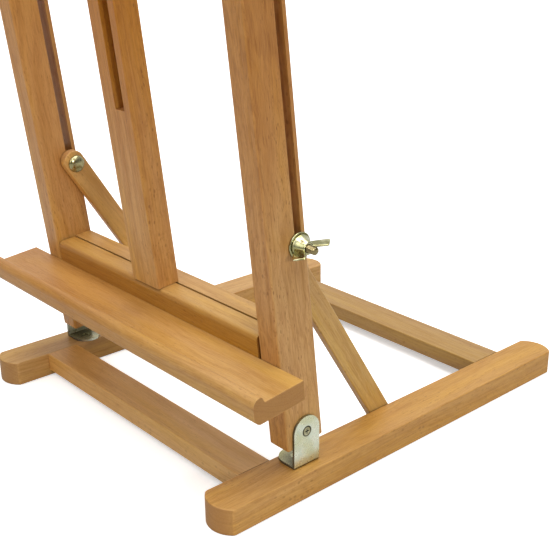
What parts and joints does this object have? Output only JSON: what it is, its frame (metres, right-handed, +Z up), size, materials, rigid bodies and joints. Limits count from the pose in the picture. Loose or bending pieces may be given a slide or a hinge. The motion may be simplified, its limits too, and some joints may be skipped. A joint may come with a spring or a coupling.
{
  "type": "tabletop easel",
  "caption": "Wooden H-frame tabletop easel: flat base, tilting upright frame on slotted struts, canvas tray, central mast with sliding top clamp.",
  "frame": {"origin": "on the table top, under the middle of the whole easel, half its width and half its depth", "axes": "+Z up, +Y from the tray to the back of the base, +X to the right of someone facing the tray"},
  "size_m": [0.3752, 0.4218, 0.577],
  "materials": {
    "beech": "oiled satin",
    "bracket_plate": "yellow zinc, satin",
    "screw_steel": "yellow zinc",
    "yellow_zinc": "bright yellow zinc"
  },
  "bodies": {
    "base": {"side_rail_left": "beech", "side_rail_right": "beech", "front_cross_rail": "beech", "back_cross_rail": "beech", "rail_dowels": "beech", "bracket_left": "bracket_plate", "bracket_right": "bracket_plate", "bracket_screws": "screw_steel"},
    "frame": {"post_left": "beech", "post_right": "beech", "lower_crossbar": "beech", "top_crossbar": "beech", "crossbar_dowels": "beech", "ledge_board": "beech", "ledge_screws": "screw_steel", "canvas_tray": "beech", "tray_screws": "screw_steel", "pivot_screws": "screw_steel", "mast_bolt": "yellow_zinc", "mast_washer": "yellow_zinc"},
    "mast": {"mast": "beech"},
    "clamp": {"clamp_plate": "beech", "clamp_shelf": "beech", "clamp_screws": "screw_steel", "clamp_bolt": "yellow_zinc", "clamp_washer": "yellow_zinc"},
    "clamp_nut": {"clamp_wing_nut": "yellow_zinc"},
    "mast_nut": {"mast_wing_nut": "yellow_zinc"},
    "strut_bolt_left_set": {"strut_bolt_left": "yellow_zinc", "strut_washer_left": "yellow_zinc"},
    "strut_left_bar": {"strut_left": "beech", "strut_foot_screw_left": "screw_steel"},
    "strut_nut_left": {"strut_wing_nut_left": "yellow_zinc"},
    "strut_bolt_right_set": {"strut_bolt_right": "yellow_zinc", "strut_washer_right": "yellow_zinc"},
    "strut_right_bar": {"strut_right": "beech", "strut_foot_screw_right": "screw_steel"},
    "strut_nut_right": {"strut_wing_nut_right": "yellow_zinc"}
  },
  "joints": [
    {"name": "frame_tilt", "type": "hinge", "parent": "base", "child": "frame", "pos_m": [0, -0.10107, 0.0508], "axis": [-1, 0, 0], "range_deg": [0, 92]},
    {"name": "mast_slide", "type": "slide", "parent": "frame", "child": "mast", "axis": [0, -0.108, 0.9942], "range_m": [0, 0.13]},
    {"name": "clamp_slide", "type": "slide", "parent": "mast", "child": "clamp", "axis": [0, -0.108, 0.9942], "range_m": [-0.048, 0.04]},
    {"name": "clamp_nut_spin", "type": "hinge", "parent": "clamp", "child": "clamp_nut", "pos_m": [0.0036, -0.13973, 0.49925], "axis": [0, 0.9942, 0.108], "continuous": true},
    {"name": "mast_nut_spin", "type": "hinge", "parent": "frame", "child": "mast_nut", "pos_m": [0.0036, -0.12055, 0.41533], "axis": [0, 0.9942, 0.108], "continuous": true},
    {"name": "strut_bolt_slide_left", "type": "slide", "parent": "frame", "child": "strut_bolt_left_set", "axis": [0, -0.108, 0.9942], "range_m": [0, 0.1804]},
    {"name": "strut_pivot_left", "type": "hinge", "parent": "strut_bolt_left_set", "child": "strut_left_bar", "pos_m": [-0.136, -0.10721, 0.199], "axis": [-1, 0, 0], "range_deg": [0, 16.14]},
    {"name": "strut_nut_spin_left", "type": "hinge", "parent": "strut_bolt_left_set", "child": "strut_nut_left", "pos_m": [-0.168, -0.10721, 0.199], "axis": [-1, 0, 0], "continuous": true},
    {"name": "strut_bolt_slide_right", "type": "slide", "parent": "frame", "child": "strut_bolt_right_set", "axis": [0, -0.108, 0.9942], "range_m": [0, 0.1804]},
    {"name": "strut_pivot_right", "type": "hinge", "parent": "strut_bolt_right_set", "child": "strut_right_bar", "pos_m": [0.136, -0.10721, 0.199], "axis": [-1, 0, 0], "range_deg": [0, 16.14]},
    {"name": "strut_nut_spin_right", "type": "hinge", "parent": "strut_bolt_right_set", "child": "strut_nut_right", "pos_m": [0.168, -0.10721, 0.199], "axis": [1, 0, 0], "continuous": true}
  ],
  "couplings": [
    {"joint": "strut_bolt_slide_left", "follows": "frame_tilt", "m_per_rad": 0.11182},
    {"joint": "strut_pivot_left", "follows": "frame_tilt", "ratio": 0.17492},
    {"joint": "strut_bolt_slide_right", "follows": "frame_tilt", "m_per_rad": 0.11182},
    {"joint": "strut_pivot_right", "follows": "frame_tilt", "ratio": 0.17492}
  ]
}
